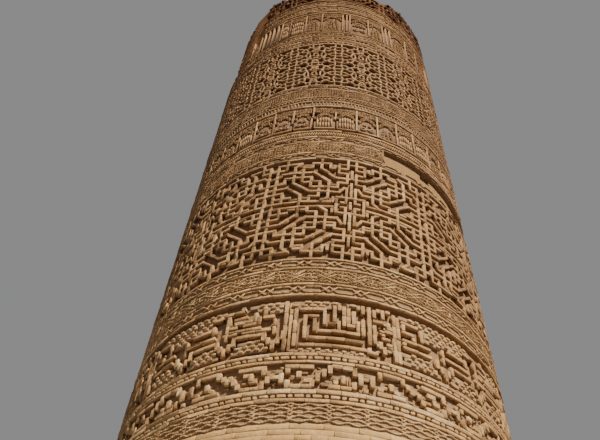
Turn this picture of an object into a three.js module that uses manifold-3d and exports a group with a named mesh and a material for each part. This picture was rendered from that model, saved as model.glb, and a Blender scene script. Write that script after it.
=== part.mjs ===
// Brick minaret shaft, hollow and open at its broken top, with bands of raised brick ornament.
// Units are millimetres, Z is up and the ornament's best side faces -Y.
// Azimuths are in degrees from the front (-Y), growing towards +X.
import * as THREE from "three";
import { mergeVertices } from "three/addons/utils/BufferGeometryUtils.js";
import Module from "manifold-3d";

const wasm = await Module();
wasm.setup();

// Driving dimensions
const topZ = 14000;
const groundRadius = 2053;
const taper = 0.03;
const boreRadius = 1150;
const facingDepth = 120;
const joint = 0.3;
const slit = 0.008;
const sides = 48;
const plainSetback = 14;
const lostDepth = 60;
const fallenDepth = 42;
const footTop = 2500;
const plainTop = 4950;
const coreLowTop = 8505;
const coreMidTop = 11580;
const coreTopZ = 13880;
const doorHalfWidth = 400;
const doorSill = 200;
const doorSpring = 1600;
const doorRise = 480;
const headAngle = 22.5;

// Band edges from the bottom up
const strapLowTop = 5135;
const beadLowTop = 5270;
const stepTop = 5530;
const beadHighTop = 5660;
const keyFretTop = 6235;
const shadowTop = 6305;
const strapStripsTop = 6810;
const greatFretTop = 8505;
const fineLowTop = 9150;
const scrollLowTop = 9700;
const fineMidTop = 10310;
const latticeTop = 11580;
const fineHighTop = 12050;
const scrollHighTop = 12740;
const fineTopTop = 13320;

// Great fret: columns in degrees, rows in millimetres. The front repeat is a little wider than the
// other six, and the columns lean to the right as they rise.
const fretRepeats = 7;
const fretAxis = 7.8;
const fretLeftColumn = 3.02;
const fretRightColumn = 2.91;
const fretLean = 0.0012;
const fretFirstRow = 6821;
const fretRow = 89.3;
const fretRows = 19;
const fretBar = 31;
const fretDepth = 52;

// Lattice: two tiers of medallions round a middle line
const latticeRepeats = 17;
const latticeAxis = 2.8;
const latticeMiddle = 10950;
const latticeTier = 295;
const latticeStrap = 27;
const latticeDepth = 45;

// Fired brick as it shows in each part of the wall
const paleBrick = 0xcaa67b;
const tanBrick = 0xb88f63;
const carvedBrick = 0xb28a5f;
const shadedBrick = 0x8f6b48;
const coreBrick = 0x9c7650;

const group = new THREE.Group();
group.name = "minaret";

function outerRadius(z) {
  return groundRadius - taper * z;
}

function coreRadius(z) {
  return outerRadius(z) - facingDepth;
}

// Turn a three.js geometry into a closed manifold that faces out
function toSolid(geometry) {
  const bare = geometry.index ? geometry.toNonIndexed() : geometry.clone();
  bare.deleteAttribute("normal");
  bare.deleteAttribute("uv");
  const merged = mergeVertices(bare, 1e-3);
  const position = merged.attributes.position.array;
  const triangles = [];
  const index = merged.index.array;
  let volume = 0;
  for (let i = 0; i < index.length; i += 3) {
    const [a, b, c] = [index[i], index[i + 1], index[i + 2]];
    if (a === b || b === c || a === c) continue;
    triangles.push([a, b, c]);
    const va = new THREE.Vector3().fromArray(position, a * 3);
    const vb = new THREE.Vector3().fromArray(position, b * 3);
    const vc = new THREE.Vector3().fromArray(position, c * 3);
    volume += va.dot(vb.cross(vc));
  }
  const ordered = triangles.map(([a, b, c]) => (volume < 0 ? [a, c, b] : [a, b, c]));
  const mesh = new wasm.Mesh({
    numProp: 3,
    vertProperties: new Float32Array(position),
    triVerts: new Uint32Array(ordered.flat()),
  });
  return new wasm.Manifold(mesh);
}

// A closed ring turned about Z from [z, radius] pairs of its cross-section
function turned(section) {
  const points = section.map(([z, radius]) => new THREE.Vector2(radius, z));
  points.push(points[0].clone());
  const geometry = new THREE.LatheGeometry(points, sides);
  geometry.rotateX(Math.PI / 2);
  return toSolid(geometry);
}

// A pie-shaped cutter between two azimuths and two heights. Its sides are drawn in by the slit,
// so that pieces on either side of one azimuth don't overlap.
function wedge(fromAzimuth, toAzimuth, lowZ, highZ) {
  const reach = 4000;
  const steps = Math.max(1, Math.ceil((toAzimuth - fromAzimuth) / 30));
  const shape = new THREE.Shape();
  shape.moveTo(0, 0);
  for (let i = 0; i <= steps; i += 1) {
    const inset = (i === 0 ? slit : 0) - (i === steps ? slit : 0);
    const a = THREE.MathUtils.degToRad(fromAzimuth + ((toAzimuth - fromAzimuth) * i) / steps + inset);
    shape.lineTo(reach * Math.sin(a), -reach * Math.cos(a));
  }
  shape.closePath();
  const geometry = new THREE.ExtrudeGeometry(shape, { depth: highZ - lowZ, bevelEnabled: false });
  geometry.translate(0, 0, lowZ);
  return toSolid(geometry);
}

function addPiece(name, solid, colour, roughness) {
  const mesh = solid.getMesh();
  const geometry = new THREE.BufferGeometry();
  geometry.setAttribute("position", new THREE.BufferAttribute(new Float32Array(mesh.vertProperties), 3));
  geometry.setIndex(new THREE.BufferAttribute(new Uint32Array(mesh.triVerts), 1));
  geometry.computeVertexNormals();
  const material = new THREE.MeshStandardMaterial({ color: colour, roughness, metalness: 0 });
  material.name = name;
  const piece = new THREE.Mesh(geometry, material);
  piece.name = name;
  group.add(piece);
}

// Lower shaft: a plain wall of full thickness
const footRing = turned([
  [0, boreRadius],
  [0, outerRadius(0) - plainSetback],
  [footTop, outerRadius(footTop) - plainSetback],
  [footTop, boreRadius],
]);

// The doorway's pointed opening, cut along Y through the back of the wall
function doorCutter() {
  const shape = new THREE.Shape();
  shape.moveTo(-doorHalfWidth, doorSill);
  shape.lineTo(doorHalfWidth, doorSill);
  shape.lineTo(doorHalfWidth, doorSpring);
  shape.quadraticCurveTo(doorHalfWidth * 0.9, doorSpring + doorRise * 0.65, 0, doorSpring + doorRise);
  shape.quadraticCurveTo(-doorHalfWidth * 0.9, doorSpring + doorRise * 0.65, -doorHalfWidth, doorSpring);
  shape.closePath();
  const geometry = new THREE.ExtrudeGeometry(shape, { depth: 1600, bevelEnabled: false, curveSegments: 6 });
  geometry.rotateX(Math.PI / 2);
  geometry.translate(0, 2400, 0);
  return toSolid(geometry);
}

const doorway = doorCutter();
const headBlock = wedge(180 - headAngle, 180 + headAngle, doorSpring, footTop);
const headSeat = wedge(180 - headAngle - 2 * slit, 180 + headAngle + 2 * slit, doorSpring, footTop + 10);
addPiece("foot_wall_front", footRing.intersect(wedge(-60, 60, -10, footTop + 10)), paleBrick, 0.92);
addPiece("foot_wall_right", footRing.intersect(wedge(60, 135, -10, footTop + 10)), paleBrick, 0.92);
addPiece("foot_wall_left", footRing.intersect(wedge(-135, -60, -10, footTop + 10)), paleBrick, 0.92);
const jambRight = footRing.intersect(wedge(135, 180, -10, footTop + 10));
addPiece("door_jamb_right", jambRight.subtract(doorway).subtract(headSeat), paleBrick, 0.92);
const jambLeft = footRing.intersect(wedge(180, 225, -10, footTop + 10));
addPiece("door_jamb_left", jambLeft.subtract(doorway).subtract(headSeat), paleBrick, 0.92);
addPiece("door_head", footRing.intersect(headBlock).subtract(doorway), paleBrick, 0.92);

const quarters = [["front", -45], ["right", 45], ["back", 135], ["left", 225]];
const plainRing = turned([
  [footTop, boreRadius],
  [footTop, outerRadius(footTop) - plainSetback],
  [plainTop, outerRadius(plainTop) - plainSetback],
  [plainTop, boreRadius],
]);
for (const [side, from] of quarters) {
  const quarter = plainRing.intersect(wedge(from, from + 90, footTop - 10, plainTop + 10));
  addPiece(`plain_shaft_${side}`, quarter, paleBrick, 0.92);
}

// Wall core behind the ornament, in three storeys
function coreRing(lowZ, highZ) {
  return turned([
    [lowZ, boreRadius],
    [lowZ, coreRadius(lowZ)],
    [highZ, coreRadius(highZ)],
    [highZ, boreRadius],
  ]);
}

// A socket left by lost bricks, open through the facing in front of it
function socket(azimuth, z, width, height, depth) {
  const geometry = new THREE.BoxGeometry(width, depth * 2, height);
  geometry.translate(0, -coreRadius(z), z);
  geometry.rotateZ(THREE.MathUtils.degToRad(azimuth));
  return toSolid(geometry);
}

const coreLow = coreRing(plainTop, coreLowTop);
const lostBricks = socket(41, 8890, 165, 120, 300);
const coreMid = coreRing(coreLowTop, coreMidTop).subtract(lostBricks);
let coreHigh = coreRing(coreMidTop, coreTopZ);
const coreBreaks = [[20, 62, 13760], [100, 128, 13600], [150, 215, 13700], [255, 290, 13640], [325, 352, 13790]];
for (const [from, to, z] of coreBreaks) {
  coreHigh = coreHigh.subtract(wedge(from, to, z, topZ + 100));
}
for (const [side, from] of quarters) {
  const cutLow = wedge(from, from + 90, plainTop - 10, coreLowTop + 10);
  const cutMid = wedge(from, from + 90, coreLowTop - 10, coreMidTop + 10);
  const cutHigh = wedge(from, from + 90, coreMidTop - 10, topZ + 10);
  addPiece(`core_low_${side}`, coreLow.intersect(cutLow), coreBrick, 0.95);
  addPiece(`core_mid_${side}`, coreMid.intersect(cutMid), coreBrick, 0.95);
  addPiece(`core_top_${side}`, coreHigh.intersect(cutHigh), coreBrick, 0.95);
}

// A facing ring from [z, setback] pairs of its face, setback measured in from the tapered datum
function facing(face) {
  const lowZ = face[0][0];
  const highZ = face[face.length - 1][0];
  const section = [[lowZ, coreRadius(lowZ) + joint]];
  for (const [z, setback] of face) section.push([z, outerRadius(z) - setback]);
  section.push([highZ, coreRadius(highZ) + joint]);
  return turned(section);
}

// A bead moulding: two flat fillets with a sunk groove for the beads between them
function beadMoulding(lowZ, highZ) {
  const fillet = (highZ - lowZ) * 0.28;
  return facing([
    [lowZ, 0],
    [lowZ + fillet, 0],
    [lowZ + fillet, 20],
    [highZ - fillet, 20],
    [highZ - fillet, 0],
    [highZ, 0],
  ]);
}

// Strips of thin carved brick parted by proud fillets
function strips(lowZ, highZ, fillets) {
  const face = [];
  for (const [from, to] of fillets) {
    if (from > lowZ) face.push([from, 8]);
    face.push([from, -4]);
    face.push([to, -4]);
    if (to < highZ) face.push([to, 8]);
  }
  return facing(face);
}

addPiece("strap_band_low", facing([[plainTop, 4], [strapLowTop, 4]]), carvedBrick, 0.9);
addPiece("bead_moulding_low", beadMoulding(strapLowTop, beadLowTop), tanBrick, 0.9);
addPiece("step_band", facing([[beadLowTop, 2], [stepTop, 2]]), tanBrick, 0.9);
addPiece("bead_moulding_high", beadMoulding(stepTop, beadHighTop), tanBrick, 0.9);
addPiece("key_fret_band", facing([[beadHighTop, 2], [keyFretTop, 2]]), tanBrick, 0.9);
addPiece("shadow_course", facing([[keyFretTop, 62], [shadowTop, 62]]), shadedBrick, 0.95);
const strapFillets = [[6305, 6325], [6455, 6475], [6663, 6683], [6790, 6810]];
addPiece("strap_strips", strips(shadowTop, strapStripsTop, strapFillets), carvedBrick, 0.9);

// The footprint of one raised bar, [azimuth, z] to [azimuth, z], carried in through the facing. It runs
// half its width past both ends, so that bars join at their corners. Level bars spread out radially
// and all others go straight in, which keeps their walls flat.
function barThrough(from, to, width) {
  const middle = (from[0] + to[0]) / 2;
  const face = outerRadius((from[1] + to[1]) / 2);
  const perDegree = THREE.MathUtils.degToRad(face);
  const along = new THREE.Vector2((to[0] - from[0]) * perDegree, to[1] - from[1]).normalize();
  const across = new THREE.Vector2(-along.y, along.x);
  const inner = [];
  const outer = [];
  for (const [end, forward] of [[from, -1], [to, 1]]) {
    for (const sideways of [-forward, forward]) {
      const x = (along.x * forward + across.x * sideways) * width / 2;
      const z = end[1] + (along.y * forward + across.y * sideways) * width / 2;
      const turn = THREE.MathUtils.degToRad(end[0] - middle + x / perDegree);
      for (const [ring, radius] of [[inner, 1500], [outer, 2300]]) {
        const radial = new THREE.Vector3(radius * Math.sin(turn), -radius * Math.cos(turn), z);
        const straight = new THREE.Vector3(face * Math.sin(turn), -radius, z);
        ring.push(from[1] === to[1] ? radial : straight);
      }
    }
  }
  const index = [0, 1, 2, 0, 2, 3, 4, 6, 5, 4, 7, 6];
  for (let i = 0; i < 4; i += 1) {
    const j = (i + 1) % 4;
    index.push(i, i + 4, j, j, i + 4, j + 4);
  }
  const geometry = new THREE.BufferGeometry().setFromPoints([...inner, ...outer]);
  geometry.setIndex(index);
  geometry.rotateZ(THREE.MathUtils.degToRad(middle));
  return toSolid(geometry);
}

// A facing ring with bars standing proud of a sunk ground
function reliefBand(lowZ, highZ, depth, bars) {
  const outside = turned([
    [lowZ - 5, outerRadius(lowZ) - depth],
    [lowZ - 5, outerRadius(lowZ) + 100],
    [highZ + 5, outerRadius(lowZ) + 100],
    [highZ + 5, outerRadius(highZ) - depth],
  ]);
  const hollows = outside.subtract(wasm.Manifold.union(bars));
  return facing([[lowZ, 2], [highZ, 2]]).subtract(hollows);
}

// The fret's main bars in one quarter of a repeat, in columns from its axis and rows from its foot
const fretBars = [
  [[0, 15], [1.7, 15]],
  [[1.7, 15], [3.5, 16.8]],
  [[3.5, 16.8], [3.5, 19.5]],
  [[1.3, 12], [4.5, 12]],
  [[4.5, 12], [6.5, 14]],
  [[6.5, 14], [6.5, 17.2]],
  [[1.9, 10], [9, 10]],
];
const fretBackColumn = (40 - fretLeftColumn - fretRightColumn) / 12;

function fretPlace(column, row, repeat) {
  const z = fretFirstRow + fretRow * row;
  const lean = fretLean * (z - 7660);
  if (repeat === 0) return [fretAxis + lean + column * (column > 0 ? fretRightColumn : fretLeftColumn), z];
  return [fretAxis + lean + fretRightColumn * 9 + fretBackColumn * (column + 9 + 18 * (repeat - 1)), z];
}

const greatFret = [];
for (let repeat = 0; repeat < fretRepeats; repeat += 1) {
  for (const [start, end] of fretBars) {
    for (const side of [-1, 1]) {
      for (const flip of [false, true]) {
        const [from, to] = [start, end].map(([column, row]) =>
          fretPlace(side * column, flip ? fretRows - row : row, repeat));
        greatFret.push(barThrough(from, to, fretBar));
      }
    }
  }
}
addPiece("great_fret_band", reliefBand(strapStripsTop, greatFretTop, fretDepth, greatFret), tanBrick, 0.9);

// A strip of the carved facing is lost here, down to its mortar bed
const lostStrip = turned([
  [8640, outerRadius(8640) - lostDepth],
  [8640, outerRadius(8640) + 200],
  [8950, outerRadius(8640) + 200],
  [8950, outerRadius(8950) - lostDepth],
]).intersect(wedge(21, 100, 8600, 9000));
const fineLow = strips(greatFretTop, fineLowTop, [[8505, 8530], [8985, 9005], [9115, 9150]]);
addPiece("fine_strips_low", fineLow.subtract(lostStrip).subtract(lostBricks), carvedBrick, 0.9);
addPiece("scroll_band_low", facing([[fineLowTop, 2], [scrollLowTop, 2]]), carvedBrick, 0.9);
const fineMid = strips(scrollLowTop, fineMidTop, [[9700, 9740], [9980, 10000], [10280, 10310]]);
addPiece("fine_strips_mid", fineMid, carvedBrick, 0.9);

// The lattice's main straps: pairs of uprights on each axis, and level straps between them
const latticeStraps = [];
for (let repeat = 0; repeat < latticeRepeats; repeat += 1) {
  const axis = latticeAxis + (360 / latticeRepeats) * repeat;
  for (const side of [-1, 1]) {
    const upright = axis + side * 1.45;
    latticeStraps.push(barThrough([upright, fineMidTop - 10], [upright, latticeTop + 10], latticeStrap));
  }
  for (const tier of [-1, 1]) {
    for (const level of [-1, 1]) {
      const z = latticeMiddle + tier * (latticeTier + level * 115);
      latticeStraps.push(barThrough([axis + 4.4, z], [axis + 360 / latticeRepeats - 4.4, z], latticeStrap));
    }
  }
}
addPiece("lattice_band", reliefBand(fineMidTop, latticeTop, latticeDepth, latticeStraps), tanBrick, 0.9);
const fineHigh = strips(latticeTop, fineHighTop, [[11580, 11610], [11880, 11920], [12035, 12050]]);
addPiece("fine_strips_high", fineHigh, carvedBrick, 0.9);

// The left of the three top bands has lost its carved face, up to the rim
const lostFace = turned([
  [12120, outerRadius(12120) - fallenDepth],
  [12120, outerRadius(12120) + 200],
  [topZ + 50, outerRadius(12120) + 200],
  [topZ + 50, outerRadius(topZ + 50) - fallenDepth],
]).intersect(wedge(-84, -42, 12000, topZ + 100));
const scrollHigh = facing([[fineHighTop, 2], [scrollHighTop, 2]]).subtract(lostFace);
addPiece("scroll_band_high", scrollHigh, carvedBrick, 0.9);
const fineTop = strips(scrollHighTop, fineTopTop, [[12740, 12770], [13120, 13150], [13260, 13320]])
  .subtract(lostFace);
addPiece("fine_strips_top", fineTop, carvedBrick, 0.9);

// The broken top course, lower where bricks have fallen
let brokenFret = facing([[fineTopTop, 2], [topZ, 2]]).subtract(lostFace);
const rimBreaks = [
  [-8, 14, 13870],
  [14, 32, 13780],
  [46, 58, 13900],
  [96, 124, 13720],
  [138, 176, 13810],
  [190, 214, 13690],
  [232, 256, 13830],
  [268, 281, 13880],
  [292, 303, 13850],
  [328, 341, 13900],
];
for (const [from, to, z] of rimBreaks) {
  brokenFret = brokenFret.subtract(wedge(from, to, z, topZ + 100));
}
addPiece("broken_fret", brokenFret, tanBrick, 0.92);

export default group;
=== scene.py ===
from itertools import product
from math import asin, atan2, ceil, cos, degrees, hypot, pi, radians, sin

import bpy
import numpy as np
from mathutils import Matrix


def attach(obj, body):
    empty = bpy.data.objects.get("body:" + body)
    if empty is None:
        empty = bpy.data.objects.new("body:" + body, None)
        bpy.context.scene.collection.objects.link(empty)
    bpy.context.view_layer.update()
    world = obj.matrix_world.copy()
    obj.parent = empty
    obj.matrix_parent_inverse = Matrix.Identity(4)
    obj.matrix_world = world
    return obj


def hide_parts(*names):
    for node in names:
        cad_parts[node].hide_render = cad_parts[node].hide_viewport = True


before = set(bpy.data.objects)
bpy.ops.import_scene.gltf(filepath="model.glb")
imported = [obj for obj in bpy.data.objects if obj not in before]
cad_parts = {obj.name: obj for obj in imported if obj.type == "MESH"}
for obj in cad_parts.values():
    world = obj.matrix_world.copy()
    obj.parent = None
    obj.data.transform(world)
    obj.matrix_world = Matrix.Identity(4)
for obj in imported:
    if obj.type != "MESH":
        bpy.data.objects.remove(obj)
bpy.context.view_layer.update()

# Metres throughout. Azimuths are degrees from the front (-Y), growing towards +X.
tower = {
    "groundRadius": 2.053,   # face of the raised bricks at ground level
    "taper": 0.03,           # the face leans in 30 mm a metre
    "facing": 0.119,         # thickness of the ornamented skin
    "plainSetback": 0.014,   # the plain shaft lies this far behind the ornament
    "sides": 144,
    "reach": 2.0388,         # nothing goes further out than the solids do at the ground
    "top": 14.0,
    "rootDustAndShade": 0.45,        # how much darker a brick is at its root: dust, and painted shade in the crevices
    "ringGap": 0.0005,       # a ring of ground stops this far short of the edges of its band
}

# Broken edges: from azimuth, to azimuth, height of what still stands there
rimBreaks = [(-8, 14, 13.87), (14, 32, 13.78), (46, 58, 13.90), (96, 124, 13.72), (138, 176, 13.81),
             (190, 214, 13.69), (232, 256, 13.83), (268, 281, 13.88), (292, 303, 13.85), (328, 341, 13.90)]
coreBreaks = [(20, 62, 13.76), (100, 128, 13.60), (150, 215, 13.70), (255, 290, 13.64), (325, 352, 13.79)]

# Painted light and shade on the bricks by azimuth: lighter where the key light falls full on the wall, darker
# on both limbs. Azimuth, change of tone
paintedSunlight = [(-180, 0), (-80, -0.2), (-50, -0.13), (-30, 0), (-12, 0.05), (2, 0.06), (16, 0.2), (30, 0.08),
             (42, -0.14), (54, -0.28), (80, -0.26), (115, 0), (180, 0)]


def radiusAt(z):
    return tower["groundRadius"] - tower["taper"] * z


def azimuthOf(point):
    return degrees(atan2(point.x, -point.y))


def standingHeight(azimuth, breaks, full):
    turned = (azimuth + 8) % 360 - 8
    for start, end, height in breaks:
        if start <= turned <= end:
            return height
    return full


# Small tools for modelling
def deselectAll():
    if bpy.context.mode != "OBJECT":
        bpy.ops.object.mode_set(mode="OBJECT")
    bpy.ops.object.select_all(action="DESELECT")


def editFaces(piece, wanted):
    # Opens the piece in edit mode with only the wanted faces selected
    deselectAll()
    piece.select_set(True)
    bpy.context.view_layer.objects.active = piece
    bpy.ops.object.mode_set(mode="EDIT")
    bpy.ops.mesh.select_mode(type="FACE")
    bpy.ops.mesh.select_all(action="DESELECT")
    bpy.ops.object.mode_set(mode="OBJECT")
    for face in piece.data.polygons:
        face.select = bool(wanted(face))
    bpy.ops.object.mode_set(mode="EDIT")


def asPattern(piece):
    # Keeps what the copies need of a modelled shape, then clears the shape away
    bpy.ops.object.mode_set(mode="OBJECT")
    mesh = piece.data
    points = np.array([vertex.co[:] for vertex in mesh.vertices])
    faces = [list(face.vertices) for face in mesh.polygons]
    bpy.data.objects.remove(piece)
    bpy.data.meshes.remove(mesh)
    return {
        "points": points,
        "size": points.max(0) - points.min(0),
        "loops": np.array([corner for face in faces for corner in face]),
        "counts": np.array([len(face) for face in faces]),
    }


edgeFall = 0.6           # a worn edge falls back by this share of its width


def addBlock(length, height, depth, back=0.0):
    # A block along X, its face at y = back, and that face open for editing
    deselectAll()
    bpy.ops.mesh.primitive_cube_add(size=1, location=(0, depth / 2 + back, 0))
    block = bpy.context.object
    block.scale = (length, depth, height)
    return openFace(block)


def openFace(block):
    bpy.ops.object.transform_apply(location=True, rotation=True, scale=True)
    editFaces(block, lambda face: face.normal.y < -0.9)
    return block


def wornPattern(block, arris):
    # Brings the face out to y = 0 and leaves its edges worn
    bpy.ops.mesh.inset(thickness=arris, depth=0)
    bpy.ops.transform.translate(value=(0, -arris * edgeFall, 0))
    return asPattern(block)


def modelBrick(length, height, depth, arris):
    # A cut brick, worn round the four front edges
    return wornPattern(addBlock(length, height, depth, arris * edgeFall), arris)


def modelStrap(length, height, depth, slope):
    # A moulded strap: the face is narrower than the foot, so both sides slope
    block = addBlock(length, height, depth)
    bpy.ops.transform.resize(value=((length - slope) / length, 1, (height - slope) / height),
                             center_override=(0, 0, 0))
    return asPattern(block)


def modelBead(size, depth, arris):
    # A flat-faced bead with round ends: a disc that the copies draw out lengthways
    deselectAll()
    bpy.ops.mesh.primitive_cylinder_add(vertices=10, radius=size / 2, depth=depth, end_fill_type="NGON",
                                        location=(0, depth / 2 + arris * edgeFall, 0),
                                        rotation=(radians(90), radians(18), 0))
    return wornPattern(openFace(bpy.context.object), arris)


def copies(pattern, spots, seed, wear, slot=0):
    # Lays one copy a spot round the tower. A copy is lengthened by moving its ends apart,
    # so its worn edges keep their width. The seed may be a generator, which then goes on.
    rng = np.random.default_rng(seed)
    azimuth, z, length, height, out, depth, tilt, tone = np.array(spots, dtype=float).T[:, :, None]
    x, y, v = pattern["points"].T[:, None]
    long, thick, tall = pattern["size"]
    count, shape = len(spots), (len(spots), len(pattern["points"]))
    along = x + np.sign(x) * (length - long) / 2 + rng.normal(0, wear["rough"], shape)
    across = v + np.sign(v) * (height - tall) / 2 + rng.normal(0, wear["rough"], shape)
    front = y < thick * 0.5
    inward = np.where(front, y, y + depth - thick) + front * rng.normal(0, wear["rough"], shape)
    chipped = front & (rng.random(shape) < wear["chips"])
    inward += chipped * rng.uniform(0.3, 1, shape) * wear["chipDepth"]
    inward += rng.normal(0, wear["proud"], (count, 1))
    inward += front * (along * rng.normal(0, wear["askew"], (count, 1))
                       + across * rng.normal(0, wear["askew"] * 2, (count, 1)))
    side = along * np.cos(tilt) - across * np.sin(tilt)
    up = along * np.sin(tilt) + across * np.cos(tilt)
    height = np.clip(z + up, 0, tower["top"])
    radius = radiusAt(height) + out - inward
    turn = np.radians(azimuth) + side / radiusAt(z)
    places = np.stack([radius * np.sin(turn), -radius * np.cos(turn), height], -1).reshape(-1, 3)
    places[:, :2] = np.clip(places[:, :2], -tower["reach"], tower["reach"])
    # Painted light and shade: the tone follows the azimuth, lighter on the sunlit front; towards the root each
    # side is darker, dust and painted shade
    tone = tone + np.interp((azimuth + 180) % 360 - 180, *zip(*paintedSunlight))
    tone = tone + rng.normal(0, wear["tone"], (count, 1))
    loops = pattern["loops"][None, :] + len(x[0]) * np.arange(count)[:, None]
    return {"points": places, "loops": loops.reshape(-1), "counts": np.tile(pattern["counts"], count),
            "tones": np.clip(tone - np.where(front, 0, tower["rootDustAndShade"]), 0, 1).reshape(-1),
            "slots": np.full(len(pattern["counts"]) * count, slot)}


def makePiece(name, materials, *batches):
    # Lays batches of copies, each a pattern, spots, a seed, the wear and a material slot, as one mesh
    layers = [copies(*batch) for batch in batches]
    for layer, start in zip(layers, np.cumsum([0] + [len(layer["points"]) for layer in layers])):
        layer["loops"] += start
    points, loops, counts, slots, tones = (np.concatenate([layer[key] for layer in layers])
                                           for key in ("points", "loops", "counts", "slots", "tones"))
    mesh = bpy.data.meshes.new(name)
    mesh.vertices.add(len(points))
    mesh.vertices.foreach_set("co", points.reshape(-1))
    mesh.loops.add(len(loops))
    mesh.loops.foreach_set("vertex_index", loops)
    mesh.polygons.add(len(counts))
    mesh.polygons.foreach_set("loop_start", np.concatenate([[0], np.cumsum(counts)[:-1]]))
    mesh.polygons.foreach_set("material_index", slots)
    mesh.update(calc_edges=True)
    mesh.attributes.new("tone", "FLOAT", "POINT").data.foreach_set("value", tones)
    for material in materials:
        mesh.materials.append(material)
    mesh.validate()
    piece = bpy.data.objects.new(name, mesh)
    bpy.context.scene.collection.objects.link(piece)
    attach(piece, "root")
    print(name, sum(counts - 2), "triangles")


def ringBacking(name, low, high, recess, material, *replaced, arc=None, keep=False):
    # The ground behind the relief: a profile is traced once and spun round the axis. With an arc,
    # that part is taken out, or is all that is kept, and the ends are closed.
    deselectAll()
    bpy.ops.mesh.primitive_circle_add(vertices=4, radius=1, fill_type="NOTHING")
    ring = bpy.context.object
    ring.name = ring.data.name = name
    turn = radians(1 if arc else 0)
    corners = [(low, tower["facing"], 1), (low, recess, 1), (high, recess, -1), (high, tower["facing"], -1)]
    for vertex, (z, depth, inset) in zip(ring.data.vertices, corners):
        radius = radiusAt(z) - depth
        vertex.co = (radius * sin(turn), -radius * cos(turn), z + tower["ringGap"] * inset)
    bpy.ops.object.mode_set(mode="EDIT")
    bpy.ops.mesh.select_all(action="SELECT")
    bpy.ops.mesh.spin(steps=tower["sides"], angle=2 * pi, center=(0, 0, 0), axis=(0, 0, 1))
    bpy.ops.mesh.select_all(action="SELECT")
    bpy.ops.mesh.remove_doubles(threshold=0.0004)
    bpy.ops.mesh.normals_make_consistent(inside=False)
    bpy.ops.object.mode_set(mode="OBJECT")
    ring.data.materials.append(material)
    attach(ring, "root")
    if replaced:
        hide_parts(*replaced)
    if arc:
        editFaces(ring, lambda face: (arc[0] < azimuthOf(face.center) % 360 < arc[1]) != keep)
        bpy.ops.mesh.delete(type="FACE")
        bpy.ops.mesh.select_all(action="SELECT")
        bpy.ops.mesh.fill_holes(sides=8)
        bpy.ops.mesh.normals_make_consistent(inside=False)
        bpy.ops.object.mode_set(mode="OBJECT")
    return ring


# Materials
def linear(hexColour):
    parts = [int(hexColour[k:k + 2], 16) / 255 for k in (0, 2, 4)]
    return tuple(p / 12.92 if p <= 0.04045 else ((p + 0.055) / 1.055) ** 2.4 for p in parts) + (1,)


def addNode(tree, kind, inputs=None, **settings):
    node = tree.nodes.new(kind)
    for key, value in settings.items():
        setattr(node, key, value)
    for socket, value in (inputs or {}).items():
        if isinstance(value, bpy.types.NodeSocket):
            tree.links.new(value, node.inputs[socket])
        else:
            node.inputs[socket].default_value = value
    return node


def ramp(tree, value, stops):
    node = addNode(tree, "ShaderNodeValToRGB", {0: value})
    while len(node.color_ramp.elements) < len(stops):
        node.color_ramp.elements.new(0.5)
    for element, (place, colour) in zip(node.color_ramp.elements, stops):
        element.position = place
        element.color = linear(colour) if isinstance(colour, str) else (colour,) * 3 + (1,)
    return node.outputs[0]


def mixColours(tree, share, first, second, blend="MIX"):
    return addNode(tree, "ShaderNodeMix", {0: share, 6: first, 7: second},
                   data_type="RGBA", blend_type=blend).outputs[2]


def noise(tree, place, size, detail, rough=0.5):
    return addNode(tree, "ShaderNodeTexNoise", {"Vector": place, "Scale": 1 / size, "Detail": detail,
                                                "Roughness": rough}).outputs[0]


def maths(tree, operation, first, second):
    return addNode(tree, "ShaderNodeMath", {0: first, 1: second}, operation=operation).outputs[0]


def veil(tree, colour, mask, start, end, over, blend="MIX"):
    # Lays a share of a second colour over the first, growing from one value of the mask to another
    return mixColours(tree, ramp(tree, mask, [(start, 0.0), (end, over[0])]), colour, linear(over[1]), blend)


def startMaterial(name):
    material = bpy.data.materials.new(name)
    material.use_nodes = True
    tree = material.node_tree
    tree.nodes.clear()
    return material, tree, addNode(tree, "ShaderNodeTexCoord").outputs["Object"]


# Share of the colour left at each height, over the 14 m: palest low down, brown and sooty at the broken top
weathering = [(0.0, "ffffff"), (0.42, "fdfaf8"), (0.60, "e8e3e3"), (0.75, "d8d1d5"), (0.86, "d5cbca"),
              (0.94, "cfc3be"), (0.957, "9c8374"), (1.0, "7f6858")]


def dryFinish(tree, colour, height, weathered, rough, reliefs):
    # What both brick materials end with: weathering by height, and a matt face with bumps,
    # each a relief, its strength and its distance
    share = maths(tree, "MULTIPLY", height, 1 / tower["top"])
    colour = mixColours(tree, weathered, colour, ramp(tree, share, weathering), "MULTIPLY")
    normal = {}
    for relief, strength, distance in reliefs:
        bump = addNode(tree, "ShaderNodeBump", {"Height": relief, "Strength": strength, "Distance": distance,
                                                **normal})
        normal = {"Normal": bump.outputs[0]}
    shader = addNode(tree, "ShaderNodeBsdfPrincipled", {"Base Color": colour, "Roughness": rough, "IOR": 1.5,
                                                        "Specular IOR Level": 0.1, **normal})
    addNode(tree, "ShaderNodeOutputMaterial", {"Surface": shader.outputs[0]})


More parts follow.
